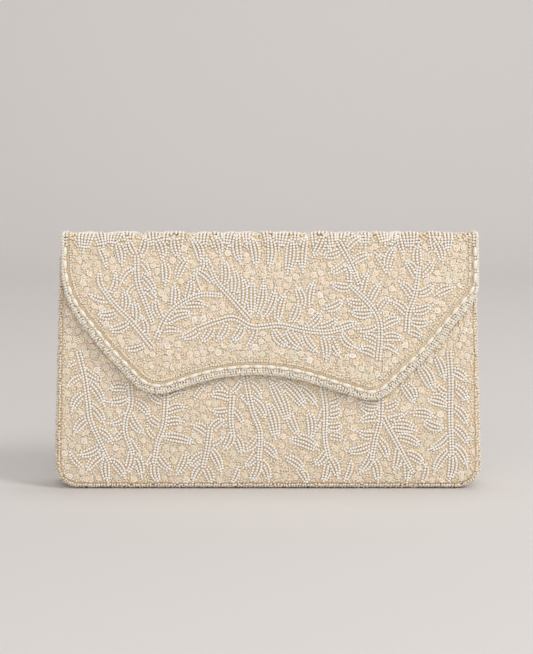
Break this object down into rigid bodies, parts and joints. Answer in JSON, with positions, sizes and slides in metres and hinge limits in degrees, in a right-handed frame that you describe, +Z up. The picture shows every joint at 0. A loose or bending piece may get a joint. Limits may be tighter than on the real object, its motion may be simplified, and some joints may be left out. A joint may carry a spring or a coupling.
{
  "type": "clutch purse",
  "caption": "Boxy envelope clutch purse covered in pearl and seed beadwork, with a wave-edged flap that folds over the front and a magnetic snap under it.",
  "frame": {"origin": "centre of the flat resting face, under the middle of the base", "axes": "+X to the right of someone who faces the front, along the purse's width; -Y out of the front, where the flap lies; +Z up"},
  "size_m": [0.234, 0.0395, 0.1416],
  "materials": {
    "beadwork": "ivory and clear gold-lined seed beads with iridescent cup sequins",
    "seed_bead_trim": "clear gold-lined seed beads",
    "rice_pearl": "ivory pearl",
    "spacer_bead": "small gold-lined seed bead",
    "satin_cord": "twisted pale gold satin cord",
    "ground_satin": "ivory satin",
    "satin_lining": "smooth cream satin",
    "satin_trim": "cream satin, bound",
    "stiffener": "white woven buckram",
    "snap_metal": "pale gold plate",
    "magnet": "dark ferrite ring"
  },
  "bodies": {
    "purse_body": {"back_beadwork": "beadwork", "back_lining": "satin_lining", "back_satin": "ground_satin", "back_stiffener": "stiffener", "base_beadwork": "beadwork", "base_lining": "satin_lining", "base_satin": "ground_satin", "base_stiffener": "stiffener", "front_beadwork": "beadwork", "front_lining": "satin_lining", "front_satin": "ground_satin", "front_stiffener": "stiffener", "left_gusset_beadwork": "beadwork", "left_gusset_lining": "satin_lining", "left_gusset_satin": "ground_satin", "left_gusset_stiffener": "stiffener", "mouth_piping": "satin_trim", "pocket_hem": "satin_trim", "right_gusset_beadwork": "beadwork", "right_gusset_lining": "satin_lining", "right_gusset_satin": "ground_satin", "right_gusset_stiffener": "stiffener", "slip_pocket": "satin_lining", "snap_socket_base": "snap_metal", "snap_socket_cap": "snap_metal", "snap_socket_magnet": "magnet", "snap_socket_washer": "snap_metal"},
    "top_fold": {"fold_beadwork": "beadwork", "fold_edge_cord": "satin_cord", "fold_edge_pearls": "rice_pearl", "fold_edge_rope": "seed_bead_trim", "fold_edge_spacers": "spacer_bead", "fold_lining": "satin_lining", "fold_satin": "ground_satin", "fold_stiffener": "stiffener"},
    "flap": {"flap_beadwork": "beadwork", "flap_edge_cord": "satin_cord", "flap_edge_pearls": "rice_pearl", "flap_edge_rope": "seed_bead_trim", "flap_edge_spacers": "spacer_bead", "flap_lining": "satin_lining", "flap_satin": "ground_satin", "flap_stiffener": "stiffener", "snap_stud": "snap_metal", "snap_stud_washer": "snap_metal"}
  },
  "joints": [
    {"name": "rear_fold_hinge", "type": "hinge", "parent": "purse_body", "child": "top_fold", "pos_m": [0, 0.00694, 0.13835], "axis": [-1, 0, 0], "range_deg": [0, 90]},
    {"name": "flap_hinge", "type": "hinge", "parent": "top_fold", "child": "flap", "pos_m": [0, -0.01159, 0.13835], "axis": [-1, 0, 0], "range_deg": [0, 90]}
  ],
  "couplings": [
    {"joint": "rear_fold_hinge", "follows": "flap_hinge", "ratio": 1}
  ]
}
